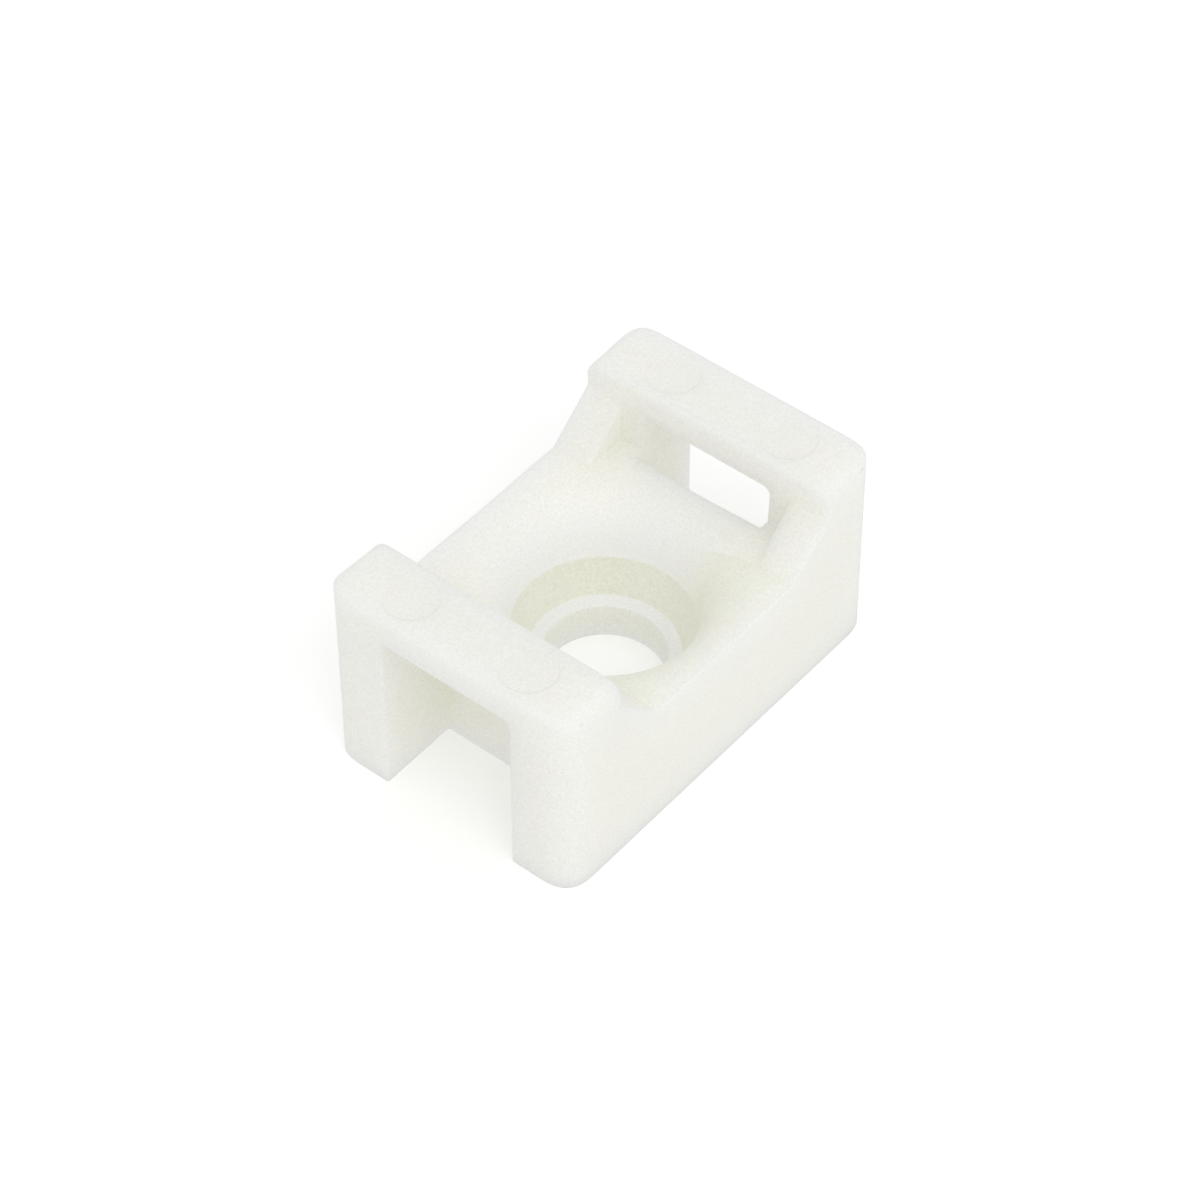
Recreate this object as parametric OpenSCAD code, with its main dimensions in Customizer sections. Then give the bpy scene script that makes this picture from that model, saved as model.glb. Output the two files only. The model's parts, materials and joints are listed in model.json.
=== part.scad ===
// Screw-fixed saddle mount for cable ties, moulded in one piece.
// X runs along the length, Y across the width, Z up from the mounting surface.
// The origin is at the middle of the underside.

/* [Overall] */
// Length over the two end gates
body_l = 15; // [12:0.5:24]
// Width over the side walls
body_w = 9.6; // [9:0.2:16]
// Height from the base to the top of the gates
body_h = 7.4; // [6.8:0.1:10]
// Radius of the four upright outer corners
corner_r = 1.2; // [0.3:0.1:1.5]

/* [End gates] */
// Thickness of each gate along the length
gate_t = 2.5; // [1.6:0.1:3]
// Height of the bar over each tie opening
bar_h = 1.15; // [0.8:0.05:1.2]
// Radius along the outer top edges of the gates
gate_edge_r = 0.55; // [0.2:0.05:1]

/* [Tie passage] */
// Width of the opening under each bar, for the cable tie
tie_w = 5.0; // [3:0.1:5.4]
// Radius in the upper corners of the opening
tie_corner_r = 0.25; // [0.1:0.05:0.6]
// Slit between the saddle block and each bar
slit = 0.38; // [0.2:0.02:0.8]

/* [Saddle] */
// Height of the saddle that the cables rest on
saddle_h = 4.85; // [4:0.05:5]
// Width of each ramp, inward from the side face
ramp_w = 1.45; // [1.1:0.05:1.6]
// Length of each ramp, from the flat of the saddle to the gate
ramp_run = 1.65; // [0.6:0.05:2]
// Height of the ramps above the saddle
ramp_rise = 1.5; // [0.6:0.05:1.6]

/* [Screw hole] */
// Diameter of the through hole
bore_d = 4.0; // [2.5:0.1:4.4]
// Diameter of the flat seat under the screw head
seat_d = 4.9; // [4.6:0.1:5.4]
// Diameter of the recess at its rim, where the mouth begins
rim_d = 5.9; // [5.5:0.05:6.4]
// Height of the rim above the base
rim_h = 2.6; // [2.2:0.05:3]
// Thickness left under the screw head
seat_t = 1.35; // [0.8:0.05:1.6]

/* [Ejector marks] */
// Diameter of the round marks on the gates
mark_d = 1.8; // [1:0.1:2]
// Distance between the two marks of a gate
mark_pitch = 4.6; // [3:0.1:5.5]
// Depth of the marks
mark_depth = 0.05; // [0.02:0.01:0.2]

/* [Hidden] */
$fn = 96;
nylon = [0.93, 0.93, 0.88];
gate_x = body_l / 2 - gate_t;
block_x = gate_x - slit;
ramp_x = gate_x - ramp_run;
ramp_gap = body_w - 2 * ramp_w;
mouth_r = saddle_h - rim_h;
opening_h = body_h - bar_h;
past = 1;

// Rectangle with round corners, centred on the origin.
module round_rect(size, r) {
    square([size[0] - 2 * r, size[1]], center = true);
    square([size[0], size[1] - 2 * r], center = true);
    for (x = [-1, 1], y = [-1, 1])
        translate([x * (size[0] / 2 - r), y * (size[1] / 2 - r)]) circle(r);
}

// Rectangle standing on the X axis, with its two upper corners round.
module arch(w, h, r) {
    translate([-w / 2, 0]) square([w, h - r]);
    translate([-w / 2 + r, 0]) square([w - 2 * r, h]);
    for (side = [-1, 1])
        translate([side * (w / 2 - r), h - r]) circle(r);
}

// Extrudes an outline drawn across the width along the length, about the middle.
module along_length(l) {
    rotate([90, 0, 90]) linear_extrude(l, center = true) children();
}

// Extrudes an outline drawn along the length across the width, about the middle.
module across_width(w) {
    rotate([90, 0, 0]) linear_extrude(w, center = true) children();
}

// Outer form: round upright corners, and round outer edges on top.
module envelope() {
    intersection() {
        linear_extrude(body_h) round_rect([body_l, body_w], corner_r);
        along_length(body_l) arch(body_w, body_h, gate_edge_r);
    }
}

// Side view of the solid: saddle block, ramps and gates.
module side_profile() {
    polygon([
        [-body_l / 2, 0], [body_l / 2, 0],
        [body_l / 2, body_h], [gate_x, body_h],
        [gate_x, saddle_h + ramp_rise], [ramp_x, saddle_h],
        [-ramp_x, saddle_h], [-gate_x, saddle_h + ramp_rise],
        [-gate_x, body_h], [-body_l / 2, body_h]
    ]);
}

// Opening under each bar that the cable tie leaves through.
module tie_opening() {
    for (end = [-1, 1])
        translate([end * (body_l / 2 + past + block_x) / 2, 0, -past])
            along_length(body_l / 2 + past - block_x)
                arch(tie_w, opening_h + past, tie_corner_r);
}

// Room between the ramps, above the saddle.
module between_ramps() {
    translate([-gate_x, -ramp_gap / 2, saddle_h])
        cube([2 * gate_x, ramp_gap, body_h]);
}

// Bell mouth that rolls from the flat saddle down to the rim of the recess.
// The two blocks keep it clear of the ramps' feet.
module mouth() {
    intersection() {
        translate([0, 0, rim_h])
            rotate_extrude()
                difference() {
                    square([rim_d / 2 + mouth_r, mouth_r]);
                    translate([rim_d / 2 + mouth_r, 0]) circle(mouth_r);
                }
        union() {
            cube([2 * ramp_x, 2 * body_w, 2 * body_h], center = true);
            cube([2 * body_l, ramp_gap, 2 * body_h], center = true);
        }
    }
}

// Through hole with a flat seat and a tapered recess for the screw head.
module screw_hole() {
    translate([0, 0, -past]) cylinder(h = body_h, d = bore_d);
    translate([0, 0, seat_t])
        cylinder(h = rim_h - seat_t, d1 = seat_d, d2 = rim_d);
}

// Shallow round marks that the ejector pins leave on the gates.
module ejector_marks() {
    for (end = [-1, 1], side = [-1, 1])
        translate([end * (gate_x + gate_t / 2), side * mark_pitch / 2, body_h - mark_depth])
            cylinder(h = past, d = mark_d);
}

module saddle_mount() {
    color(nylon)
        difference() {
            intersection() {
                envelope();
                across_width(body_w) side_profile();
            }
            tie_opening();
            between_ramps();
            mouth();
            screw_hole();
            ejector_marks();
        }
}

saddle_mount();
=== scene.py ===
import json
from math import cos, radians, sin

import bmesh
import bpy
import numpy as np
from mathutils import Matrix, Vector

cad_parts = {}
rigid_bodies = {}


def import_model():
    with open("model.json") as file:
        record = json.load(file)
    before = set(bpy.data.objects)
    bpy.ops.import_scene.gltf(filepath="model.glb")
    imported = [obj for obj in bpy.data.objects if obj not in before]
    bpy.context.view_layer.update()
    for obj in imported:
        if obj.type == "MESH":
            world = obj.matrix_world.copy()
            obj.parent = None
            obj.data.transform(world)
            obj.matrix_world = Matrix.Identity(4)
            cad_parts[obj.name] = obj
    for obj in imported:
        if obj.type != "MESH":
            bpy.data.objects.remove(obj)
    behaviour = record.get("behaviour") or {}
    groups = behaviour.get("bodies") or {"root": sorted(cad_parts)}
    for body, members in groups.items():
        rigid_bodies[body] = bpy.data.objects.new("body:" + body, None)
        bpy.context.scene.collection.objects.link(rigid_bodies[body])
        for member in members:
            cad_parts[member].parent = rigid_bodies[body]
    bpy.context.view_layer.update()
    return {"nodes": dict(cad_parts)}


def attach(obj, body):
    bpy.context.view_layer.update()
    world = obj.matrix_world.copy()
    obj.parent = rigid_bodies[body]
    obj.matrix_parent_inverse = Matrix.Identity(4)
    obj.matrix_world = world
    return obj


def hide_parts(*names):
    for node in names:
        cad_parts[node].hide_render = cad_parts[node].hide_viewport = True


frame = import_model()
scene = bpy.context.scene
scene.view_settings.view_transform = "Standard"
print("frame loaded:", ", ".join(frame["nodes"]))

# Moulded body: a merged copy of the solid, with its sharp edges rolled over
# and its upright corners filled out.
mouldedBody = {
    "mergeWithin": 2e-6,     # metres, joins the loose triangles
    "flatWithin": 0.4,       # degrees, clears the cuts across flat faces
    "archWithin": 3.0,       # degrees, clears the cuts across the gates' tops
    "archFrom": 0.0068,      # metres, just below the round edges of those tops
    "edgeRadius": 0.00009,   # metres, the soft edge that moulding leaves
    "edgeSteps": 4,
    "sharpFrom": 36.0,       # degrees, edges bent less than this stay as they are
    "creaseFrom": 17.0,      # degrees, the same along the rim of the recess
    "rimHeight": 0.0026,     # metres, where the mouth meets the recess
    "saddleTop": 0.00486,    # metres, edges from the rim up to here stay crisp
    "narrow": 0.00012,       # metres, faces narrower than this keep crisp edges
    "cornerRadius": 0.0012,  # metres, the solid's upright corners
    "cornerFullness": 2.8,   # 2 is a true arc, more fills the corner out
}


def fillCorners(mesh):
    # In each upright corner's own square, with u and v measured from the centre of its arc
    # and 1 at the side faces, the arc u^2 + v^2 = 1 becomes the fuller curve u^n + v^n = 1.
    # Every point moves straight out from that centre.
    points = np.empty(len(mesh.vertices) * 3)
    mesh.vertices.foreach_get("co", points)
    points = points.reshape(-1, 3)
    radius = mouldedBody["cornerRadius"]
    power = mouldedBody["cornerFullness"]
    flat = np.abs(points[:, :2])
    centre = flat.max(axis=0) - radius
    inCorner = np.clip(flat - centre, 0.0, None) / radius
    onArc = np.hypot(inCorner[:, 0], inCorner[:, 1])
    onFuller = (inCorner ** power).sum(axis=1) ** (1.0 / power)
    grow = np.divide(onArc, onFuller, out=np.ones_like(onFuller), where=onFuller > 0.0)
    moved = np.where(inCorner > 0.0, centre + inCorner * grow[:, None] * radius, flat)
    points[:, :2] = np.sign(points[:, :2]) * moved
    mesh.vertices.foreach_set("co", points.ravel())


def isRolled(edge):
    # sharp, off the floor, not on the saddle or its mouth, and with room for the roll
    heights = [v.co.z for v in edge.verts]
    onFloor = max(heights) < mouldedBody["mergeWithin"]
    onSaddle = min(heights) > mouldedBody["rimHeight"] and max(heights) < mouldedBody["saddleTop"]
    if onFloor or onSaddle or edge.calc_face_angle(0.0) < radians(mouldedBody["sharpFrom"]):
        return False
    return all(f.calc_area() > mouldedBody["narrow"] * edge.calc_length() for f in edge.link_faces)


def isCrease(edge):
    # shaded as a crisp line: the rim of the recess bends less than the other sharp edges
    fromRim = max(abs(v.co.z - mouldedBody["rimHeight"]) for v in edge.verts)
    limit = "creaseFrom" if fromRim < mouldedBody["mergeWithin"] else "sharpFrom"
    return edge.calc_face_angle(0.0) > radians(mouldedBody[limit])


def makeMouldedBody(source, name):
    mesh = source.data.copy()
    mesh.name = name
    fillCorners(mesh)
    bm = bmesh.new()
    bm.from_mesh(mesh)
    bmesh.ops.remove_doubles(bm, verts=bm.verts, dist=mouldedBody["mergeWithin"])
    flatWithin = radians(mouldedBody["flatWithin"])
    bmesh.ops.dissolve_limit(bm, angle_limit=flatWithin, verts=bm.verts, edges=bm.edges)
    archVerts = [v for v in bm.verts if v.co.z > mouldedBody["archFrom"]]
    archEdges = [e for e in bm.edges if min(v.co.z for v in e.verts) > mouldedBody["archFrom"]]
    archWithin = radians(mouldedBody["archWithin"])
    bmesh.ops.dissolve_limit(bm, angle_limit=archWithin, verts=archVerts, edges=archEdges)
    rolled = bm.edges.layers.float.new("bevel_weight_edge")
    for face in bm.faces:
        face.smooth = True
    for edge in bm.edges:
        edge[rolled] = float(isRolled(edge))
        edge.smooth = not isCrease(edge)
    bm.to_mesh(mesh)
    bm.free()
    body = bpy.data.objects.new(name, mesh)
    scene.collection.objects.link(body)
    bevel = body.modifiers.new("mouldedEdges", "BEVEL")
    bevel.width = mouldedBody["edgeRadius"]
    bevel.segments = mouldedBody["edgeSteps"]
    bevel.limit_method = "WEIGHT"
    bevel.use_clamp_overlap = False
    bevel.loop_slide = False
    bevel.harden_normals = True
    bevel.miter_outer = "MITER_ARC"
    return body


# Natural nylon: milky and slightly translucent, with a fine frosted grain.
# It carries painted light on the mouth, painted shade on the saddle strip and in the recess, and
# painted shadows at the ejector marks.
naturalNylon = {
    "face": (0.89, 0.89, 0.825, 1.0),     # skin from the mould's blasted walls
    "mouth": (0.965, 0.965, 0.92, 1.0),   # painted light: the rounded mouth made paler, as if more light falls on it
    "saddlePaintedShade": (0.86, 0.865, 0.785, 1.0),   # painted shade on the saddle along the -Y face, where the near gate's shadow falls
    "recessPaintedShade": (0.855, 0.86, 0.79, 1.0),     # painted shade in the recess and the hole
    "mouthReach": 0.0043,                 # metres from the hole's axis, where the painted light on the mouth ends
    "stripTop": 0.00487,                  # metres, just over the saddle
    "stripEnds": (-0.005, 0.00335),       # metres, the near gate and the foot of the +X ramp
    "stripSide": 0.00479,                 # metres, just inside the side face
    "stripFade": (0.0004, 0.0022),        # metres toward -Y, where it comes in
    "pinRadius": 0.00299,                 # metres, just over the pin's widest part
    "pinHeight": mouldedBody["rimHeight"],
    "seatHeight": 0.00135,                # metres, the screw's flat seat, which the painted shade leaves out
    "pinBlend": 0.00004,                  # metres, over which the painted shade fades in and out
    "markAt": (0.00625, 0.0023),          # metres, middle of an ejector mark
    "markRadius": 0.0009,                 # metres
    "markFrom": 0.0072,                   # metres, below the tops that carry the marks
    "markLine": 0.00004,                  # metres, half the width of the painted shadow along its rim
    "markPaintedShadow": 0.13,                    # how dark the painted shadow is on the mark's near side
    "markLean": 0.3,                      # how far past the middle the painted shadow shows, in radii
    "roughness": 0.50,
    "ior": 1.53,
    "inside": 1.0,                        # share of the light that travels inside
    "insideTint": (1.0, 0.98, 0.90),
    "glow": 0.0026,                       # metres that light travels inside
    "grainSize": 0.00008,                 # metres, frosted grain of the mould
    "grainDepth": 0.34,
    "grainDetail": 3.0,
    "cloudSize": 0.0008,                  # metres, drifts in the melt
    "cloudDepth": 0.05,
    "cloudDetail": 4.0,
    "noiseRoughness": 0.6,
    "bumpDepth": 0.000008,                # metres
    "bumpStrength": 0.3,
}


def node(tree, kind, place, **values):
    made = tree.nodes.new(kind)
    made.location = place
    for name, value in values.items():
        setattr(made, name, value)
    return made


def feed(tree, sockets, values):
    # links each value that is a socket, and sets the others
    for socket, value in zip(sockets, values):
        if isinstance(value, bpy.types.NodeSocket):
            tree.links.new(value, socket)
        else:
            socket.default_value = value


def addMath(tree, operation, place, *values):
    made = node(tree, "ShaderNodeMath", place, operation=operation)
    feed(tree, made.inputs, values)
    return made.outputs["Value"]


def addRange(tree, place, value, low, high):
    # 0 at low, 1 at high, held outside them
    made = node(tree, "ShaderNodeMapRange", place)
    feed(tree, made.inputs, (value, low, high))
    return made.outputs["Result"]


def addAxes(tree, place, where):
    axes = node(tree, "ShaderNodeSeparateXYZ", place)
    tree.links.new(where, axes.inputs["Vector"])
    return axes.outputs["X"], axes.outputs["Y"], axes.outputs["Z"]


def addLength(tree, place, x, y):
    joined = node(tree, "ShaderNodeCombineXYZ", place)
    feed(tree, joined.inputs, (x, y))
    made = node(tree, "ShaderNodeVectorMath", (place[0] + 180, place[1]), operation="LENGTH")
    tree.links.new(joined.outputs["Vector"], made.inputs[0])
    return made.outputs["Value"]


def addMix(tree, place, share, first, second):
    # inputs 6 and 7 and output 2 are the node's colours
    made = node(tree, "ShaderNodeMix", place, data_type="RGBA")
    feed(tree, (made.inputs[0], made.inputs[6], made.inputs[7]), (share, first, second))
    return made.outputs[2]


def addNoise(tree, place, where, size, detail):
    made = node(tree, "ShaderNodeTexNoise", place)
    made.inputs["Scale"].default_value = 1.0 / size
    made.inputs["Detail"].default_value = detail
    made.inputs["Roughness"].default_value = naturalNylon["noiseRoughness"]
    tree.links.new(where, made.inputs["Vector"])
    return made.outputs["Fac"]


def addRecessShadeMask(tree, far, z):
    # painted shade: 1 on the recess and the hole, 0 on their flat seat and everywhere else
    height, blend = naturalNylon["pinHeight"], naturalNylon["pinBlend"]
    nearAxis = addMath(tree, "LESS_THAN", (-700, -300), far, naturalNylon["pinRadius"])
    belowRim = addRange(tree, (-900, -450), z, height + blend, height - blend)
    fromSeat = addMath(tree, "SUBTRACT", (-1100, -650), z, naturalNylon["seatHeight"])
    fromSeat = addMath(tree, "ABSOLUTE", (-900, -650), fromSeat)
    offSeat = addRange(tree, (-700, -650), fromSeat, blend / 2, blend + blend / 2)
    mask = addMath(tree, "MULTIPLY", (-500, -400), nearAxis, belowRim)
    return addMath(tree, "MULTIPLY", (-300, -400), mask, offSeat)


def addSaddleShadeMask(tree, x, y, z):
    # painted shade: 1 on the saddle's -Y side, from the near gate to the foot of the +X ramp
    start, end = naturalNylon["stripEnds"]
    fadeFrom, fadeTo = naturalNylon["stripFade"]
    limits = (
        ("GREATER_THAN", x, start),
        ("LESS_THAN", x, end),
        ("GREATER_THAN", y, -naturalNylon["stripSide"]),
        ("GREATER_THAN", z, naturalNylon["pinHeight"]),
        ("LESS_THAN", z, naturalNylon["stripTop"]),
    )
    mask = addRange(tree, (-1300, 500), y, -fadeFrom, -fadeTo)
    for step, (side, axis, limit) in enumerate(limits):
        across = 200 * step
        within = addMath(tree, side, (across - 1300, 700), axis, limit)
        mask = addMath(tree, "MULTIPLY", (across - 1100, 500), mask, within)
    return mask


def addMarkShadow(tree, x, y, z):
    # painted shadow along the near side of each ejector mark's rim; the four marks fold onto one
    # by wrapping x and y about their spacing
    markX, markY = naturalNylon["markAt"]
    radius = naturalNylon["markRadius"]
    shiftX = addMath(tree, "SUBTRACT", (-1300, -900), x, markX)
    shiftY = addMath(tree, "SUBTRACT", (-1300, -1100), y, markY)
    foldX = addMath(tree, "WRAP", (-1100, -900), shiftX, markX, -markX)
    foldY = addMath(tree, "WRAP", (-1100, -1100), shiftY, markY, -markY)
    far = addLength(tree, (-900, -900), foldX, foldY)
    fromLine = addMath(tree, "SUBTRACT", (-500, -900), far, radius)
    fromLine = addMath(tree, "ABSOLUTE", (-300, -900), fromLine)
    line = addRange(tree, (-100, -900), fromLine, naturalNylon["markLine"], 0.0)
    lean = addMath(tree, "ADD", (-900, -1100), foldX, foldY)
    shadowSide = addRange(tree, (-500, -1100), lean, radius * naturalNylon["markLean"], -radius)
    onTop = addMath(tree, "GREATER_THAN", (-500, -1300), z, naturalNylon["markFrom"])
    line = addMath(tree, "MULTIPLY", (100, -900), line, shadowSide)
    return addMath(tree, "MULTIPLY", (300, -900), line, onTop)


def makeNaturalNylon():
    material = bpy.data.materials.new("naturalNylon")
    material.use_nodes = True
    tree = material.node_tree
    tree.nodes.clear()
    skin = node(tree, "ShaderNodeBsdfPrincipled", (600, 0))
    skin.inputs["Roughness"].default_value = naturalNylon["roughness"]
    skin.inputs["IOR"].default_value = naturalNylon["ior"]
    skin.inputs["Subsurface Weight"].default_value = naturalNylon["inside"]
    skin.inputs["Subsurface Radius"].default_value = naturalNylon["insideTint"]
    skin.inputs["Subsurface Scale"].default_value = naturalNylon["glow"]
    output = node(tree, "ShaderNodeOutputMaterial", (900, 0))
    tree.links.new(skin.outputs["BSDF"], output.inputs["Surface"])

    where = node(tree, "ShaderNodeTexCoord", (-1700, 0)).outputs["Object"]
    x, y, z = addAxes(tree, (-1500, -300), where)
    far = addLength(tree, (-1300, -150), x, y)
    reach, edge = naturalNylon["mouthReach"], naturalNylon["pinRadius"]
    # painted light: the mouth turns paler toward the hole
    onMouthLight = addRange(tree, (-900, -150), far, reach, edge)
    tint = addMix(tree, (-500, -150), onMouthLight, naturalNylon["face"], naturalNylon["mouth"])
    # painted shade on the saddle's -Y side
    onSaddleShade = addSaddleShadeMask(tree, x, y, z)
    tint = addMix(tree, (-300, -150), onSaddleShade, tint, naturalNylon["saddlePaintedShade"])
    # painted shade in the recess and the hole, leaving out the screw's seat
    onRecessShade = addRecessShadeMask(tree, far, z)
    tint = addMix(tree, (-100, -200), onRecessShade, tint, naturalNylon["recessPaintedShade"])

    # grain and clouds swing about 1 and scale the tint, and the painted shadows at the marks take
    # from it
    grainDepth, cloudDepth = naturalNylon["grainDepth"], naturalNylon["cloudDepth"]
    grain = addNoise(
        tree, (-1200, 250), where, naturalNylon["grainSize"], naturalNylon["grainDetail"]
    )
    cloud = addNoise(
        tree, (-1200, 0), where, naturalNylon["cloudSize"], naturalNylon["cloudDetail"]
    )
    swing = 1.0 - (grainDepth + cloudDepth) / 2
    level = addMath(tree, "MULTIPLY_ADD", (-900, 100), cloud, cloudDepth, swing)
    level = addMath(tree, "MULTIPLY_ADD", (-700, 100), grain, grainDepth, level)
    # painted shadow along the near side of each ejector mark
    line = addMarkShadow(tree, x, y, z)
    level = addMath(tree, "MULTIPLY_ADD", (0, 100), line, -naturalNylon["markPaintedShadow"], level)
    shade = node(tree, "ShaderNodeHueSaturation", (200, 0))
    tree.links.new(level, shade.inputs["Value"])
    tree.links.new(tint, shade.inputs["Color"])
    tree.links.new(shade.outputs["Color"], skin.inputs["Base Color"])

    bump = node(tree, "ShaderNodeBump", (300, -300))
    bump.inputs["Strength"].default_value = naturalNylon["bumpStrength"]
    bump.inputs["Distance"].default_value = naturalNylon["bumpDepth"]
    tree.links.new(grain, bump.inputs["Height"])
    tree.links.new(bump.outputs["Normal"], skin.inputs["Normal"])
    return material


mount = makeMouldedBody(frame["nodes"]["saddle_mount"], "mouldedMount")
mount.data.materials.clear()
mount.data.materials.append(makeNaturalNylon())
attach(mount, "root")
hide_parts("saddle_mount")
print("moulded body:", len(mount.data.polygons), "faces before its edges are rolled")

# Light table that the mount stands on, the sky over it and one lamp.
studio = {
    "floorSize": 1.2,                   # metres
    "tablePaint": 0.45,                 # what the table gives back of the light on it
    "tableGlow": 0.45,                  # and what it adds, as a light table does
    "shadowPaint": 0.88,                # the same two as the camera sees them,
    "shadowGlow": 0.25,                 # so that the table is white and keeps the shadow
    "horizonLevel": 0.67,               # strength of the sky, low down
    "zenithLevel": 0.88,                # and straight up
    "keyPlace": (-0.10, -0.20, 0.24),   # metres
    "keyAim": (0.0, 0.0, 0.0),          # metres
    "keySize": 0.22,                    # metres
    "keyPower": 0.19,                   # watts
}


def makeWhiteFloor():
    # paint and glow together, each at one level for the object and another for the camera
    material = bpy.data.materials.new("whiteFloor")
    material.use_nodes = True
    tree = material.node_tree
    tree.nodes.clear()
    paint = node(tree, "ShaderNodeBsdfDiffuse", (0, 100))
    glow = node(tree, "ShaderNodeEmission", (0, -100))
    seen = node(tree, "ShaderNodeLightPath", (-800, 0)).outputs["Is Camera Ray"]
    paintStep = studio["shadowPaint"] - studio["tablePaint"]
    glowStep = studio["shadowGlow"] - studio["tableGlow"]
    paintLevel = addMath(
        tree, "MULTIPLY_ADD", (-500, 100), seen, paintStep, studio["tablePaint"]
    )
    glowLevel = addMath(tree, "MULTIPLY_ADD", (-500, -100), seen, glowStep, studio["tableGlow"])
    tree.links.new(paintLevel, paint.inputs["Color"])
    tree.links.new(glowLevel, glow.inputs["Strength"])
    both = node(tree, "ShaderNodeAddShader", (300, 0))
    tree.links.new(paint.outputs["BSDF"], both.inputs[0])
    tree.links.new(glow.outputs["Emission"], both.inputs[1])
    output = node(tree, "ShaderNodeOutputMaterial", (600, 0))
    tree.links.new(both.outputs["Shader"], output.inputs["Surface"])
    return material


def addFloor():
    half = studio["floorSize"] / 2
    corners = [(-half, -half, 0), (half, -half, 0), (half, half, 0), (-half, half, 0)]
    mesh = bpy.data.meshes.new("floor")
    mesh.from_pydata(corners, [], [(0, 1, 2, 3)])
    mesh.materials.append(makeWhiteFloor())
    floor = bpy.data.objects.new("floor", mesh)
    scene.collection.objects.link(floor)


def addSky():
    # brightens from the horizon to straight up, and is white to the camera
    world = bpy.data.worlds.new("studioWorld")
    world.use_nodes = True
    scene.world = world
    tree = world.node_tree
    sky = tree.nodes["Background"]
    sky.inputs["Color"].default_value = (1.0, 1.0, 1.0, 1.0)
    where = node(tree, "ShaderNodeTexCoord", (-1200, -200)).outputs["Generated"]
    height = addAxes(tree, (-1000, -200), where)[2]
    rise = addMath(tree, "MAXIMUM", (-800, -200), height, 0.0)
    step = studio["zenithLevel"] - studio["horizonLevel"]
    light = addMath(tree, "MULTIPLY_ADD", (-600, -200), rise, step, studio["horizonLevel"])
    seen = node(tree, "ShaderNodeLightPath", (-600, 0)).outputs["Is Camera Ray"]
    level = addMath(tree, "MAXIMUM", (-300, 0), seen, light)
    tree.links.new(level, sky.inputs["Strength"])


def addKeyLamp():
    lamp = bpy.data.lights.new("keyLamp", "AREA")
    lamp.size = studio["keySize"]
    lamp.energy = studio["keyPower"]
    holder = bpy.data.objects.new("keyLamp", lamp)
    holder.location = studio["keyPlace"]
    facing = Vector(studio["keyAim"]) - Vector(studio["keyPlace"])
    holder.rotation_euler = facing.to_track_quat("-Z", "Y").to_euler()
    scene.collection.objects.link(holder)


addFloor()
addSky()
addKeyLamp()
print("studio: floor, sky and key lamp")

cameraSetup = {
    "azimuth": -50.44,                   # degrees
    "elevation": 46.62,                  # degrees
    "roll": -0.28,                       # degrees
    "distance": 0.1332,                  # metres
    "aim": (0.00138, 0.00130, 0.00172),  # metres
    "lens": 126.28,                      # millimetres
    "sensor": 36.0,                      # millimetres
    "nearest": 0.005,                    # metres
    "farthest": 10.0,                    # metres
}


def addCamera():
    # stands off from the aim along the view direction, then rolls about it
    turn = radians(cameraSetup["azimuth"])
    rise = radians(cameraSetup["elevation"])
    back = Vector((sin(turn) * cos(rise), -cos(turn) * cos(rise), sin(rise)))
    right = Vector((cos(turn), sin(turn), 0.0))
    facing = Matrix((right, back.cross(right), back)).transposed()
    facing = facing @ Matrix.Rotation(radians(cameraSetup["roll"]), 3, "Z")
    lens = bpy.data.cameras.new("studioCamera")
    lens.lens = cameraSetup["lens"]
    lens.sensor_width = cameraSetup["sensor"]
    lens.clip_start = cameraSetup["nearest"]
    lens.clip_end = cameraSetup["farthest"]
    camera = bpy.data.objects.new("studioCamera", lens)
    place = Vector(cameraSetup["aim"]) + back * cameraSetup["distance"]
    camera.matrix_world = Matrix.Translation(place) @ facing.to_4x4()
    scene.collection.objects.link(camera)
    scene.camera = camera


addCamera()
print("camera ready")
